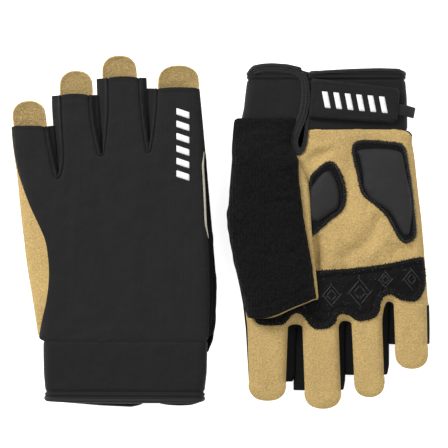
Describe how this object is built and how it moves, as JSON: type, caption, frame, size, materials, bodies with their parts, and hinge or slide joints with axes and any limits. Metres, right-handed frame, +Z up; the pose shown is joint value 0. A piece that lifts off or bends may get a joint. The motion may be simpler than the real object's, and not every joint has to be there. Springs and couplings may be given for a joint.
{
  "type": "sailing gloves",
  "caption": "Pair of fingerless sailing gloves with leather palm, padded heel and thenar patches, knit thumb and wrist strap, laid back up and palm up.",
  "frame": {"origin": "middle of the pair's outline on the surface that it lies on", "axes": "+Z up from that surface, +X from the left glove to the right glove, +Y along the left glove from cuff to fingers"},
  "size_m": [0.2334, 0.197, 0.0249],
  "materials": {
    "stretch_fabric": "matte woven stretch fabric",
    "palm_suede": "brushed suede-like leather",
    "grip_patch": "quilted black grip fabric",
    "pad_foam": "matte foam under fine fabric",
    "cuff_neoprene": "smooth matte neoprene",
    "elastic_tape": "ribbed elastic tape",
    "hook_and_loop": "hook-and-loop pile",
    "thumb_terry": "terry knit",
    "print_white": "heat-pressed white print",
    "thread_black": "sewing thread"
  },
  "bodies": {
    "left_hand": {"hand_back_left": "stretch_fabric", "palm_leather_left": "palm_suede", "little_side_gusset_left": "palm_suede", "thumb_side_gusset_left": "stretch_fabric", "knuckle_patch_left": "grip_patch", "thenar_pad_border_left": "grip_patch", "thenar_pad_foam_left": "pad_foam", "heel_pad_border_left": "grip_patch", "heel_pad_foam_left": "pad_foam", "cuff_band_left": "cuff_neoprene", "cuff_palm_left": "cuff_neoprene", "cuff_binding_left": "elastic_tape", "loop_patch_left": "hook_and_loop"},
    "left_strap": {"wrist_strap_left": "cuff_neoprene", "hook_patch_left": "hook_and_loop", "pull_tab_left": "elastic_tape"},
    "left_thumb": {"thumb_knit_left": "thumb_terry", "thumb_leather_left": "palm_suede"},
    "left_index": {"index_back_left": "stretch_fabric", "index_front_left": "palm_suede", "index_fourchettes_left": "stretch_fabric"},
    "left_middle": {"middle_back_left": "stretch_fabric", "middle_front_left": "palm_suede", "middle_fourchettes_left": "stretch_fabric"},
    "left_ring": {"ring_back_left": "stretch_fabric", "ring_front_left": "palm_suede", "ring_fourchettes_left": "stretch_fabric"},
    "left_little": {"little_back_left": "stretch_fabric", "little_front_left": "palm_suede", "little_fourchettes_left": "stretch_fabric"},
    "right_hand": {"hand_back_right": "stretch_fabric", "palm_leather_right": "palm_suede", "little_side_gusset_right": "palm_suede", "thumb_side_gusset_right": "stretch_fabric", "knuckle_patch_right": "grip_patch", "thenar_pad_border_right": "grip_patch", "thenar_pad_foam_right": "pad_foam", "heel_pad_border_right": "grip_patch", "heel_pad_foam_right": "pad_foam", "cuff_band_right": "cuff_neoprene", "cuff_palm_right": "cuff_neoprene", "cuff_binding_right": "elastic_tape", "loop_patch_right": "hook_and_loop"},
    "right_strap": {"wrist_strap_right": "cuff_neoprene", "hook_patch_right": "hook_and_loop", "pull_tab_right": "elastic_tape"},
    "right_thumb": {"thumb_knit_right": "thumb_terry", "thumb_leather_right": "palm_suede"},
    "right_index": {"index_back_right": "stretch_fabric", "index_front_right": "palm_suede", "index_fourchettes_right": "stretch_fabric"},
    "right_middle": {"middle_back_right": "stretch_fabric", "middle_front_right": "palm_suede", "middle_fourchettes_right": "stretch_fabric"},
    "right_ring": {"ring_back_right": "stretch_fabric", "ring_front_right": "palm_suede", "ring_fourchettes_right": "stretch_fabric"},
    "right_little": {"little_back_right": "stretch_fabric", "little_front_right": "palm_suede", "little_fourchettes_right": "stretch_fabric"}
  },
  "joints": [
    {"name": "right_glove_lift", "type": "slide", "parent": "left_hand", "child": "right_hand", "axis": [0, 0, 1], "range_m": [0, 0.15]},
    {"name": "left_index_flex", "type": "hinge", "parent": "left_hand", "child": "left_index", "pos_m": [-0.02595, 0.04245, 0.01253], "axis": [-0.9976, 0, -0.0698], "range_deg": [0, 75]},
    {"name": "left_middle_flex", "type": "hinge", "parent": "left_hand", "child": "left_middle", "pos_m": [-0.05518, 0.04145, 0.01048], "axis": [-0.9976, 0, -0.0698], "range_deg": [0, 75]},
    {"name": "left_ring_flex", "type": "hinge", "parent": "left_hand", "child": "left_ring", "pos_m": [-0.07992, 0.03545, 0.00875], "axis": [-0.9976, 0, -0.0698], "range_deg": [0, 75]},
    {"name": "left_little_flex", "type": "hinge", "parent": "left_hand", "child": "left_little", "pos_m": [-0.10246, 0.02895, 0.00718], "axis": [-0.9976, 0, -0.0698], "range_deg": [0, 75]},
    {"name": "left_thumb_unfold", "type": "hinge", "parent": "left_hand", "child": "left_thumb", "pos_m": [-0.00245, -0.012, 0.01327], "axis": [0, -1, 0], "range_deg": [0, 65]},
    {"name": "left_strap_peel", "type": "hinge", "parent": "left_hand", "child": "left_strap", "pos_m": [-0.0427, -0.079, 0.00985], "axis": [-0.0869, -0.9962, -0.0061], "range_deg": [0, 140]},
    {"name": "right_index_flex", "type": "hinge", "parent": "right_hand", "child": "right_index", "pos_m": [0.02635, -0.04995, 0.011], "axis": [-1, 0, 0], "range_deg": [0, 75]},
    {"name": "right_middle_flex", "type": "hinge", "parent": "right_hand", "child": "right_middle", "pos_m": [0.05475, -0.04895, 0.011], "axis": [-1, 0, 0], "range_deg": [0, 75]},
    {"name": "right_ring_flex", "type": "hinge", "parent": "right_hand", "child": "right_ring", "pos_m": [0.08105, -0.04295, 0.011], "axis": [-1, 0, 0], "range_deg": [0, 75]},
    {"name": "right_little_flex", "type": "hinge", "parent": "right_hand", "child": "right_little", "pos_m": [0.10455, -0.03795, 0.011], "axis": [-1, 0, 0], "range_deg": [0, 75]},
    {"name": "right_thumb_unfold", "type": "hinge", "parent": "right_hand", "child": "right_thumb", "pos_m": [0.00225, 0.008, 0.0119], "axis": [0, -1, 0], "range_deg": [0, 65]},
    {"name": "right_strap_peel", "type": "hinge", "parent": "right_hand", "child": "right_strap", "pos_m": [0.04735, 0.075, 0.0125], "axis": [-0.0872, -0.9962, 0], "range_deg": [0, 140]}
  ]
}
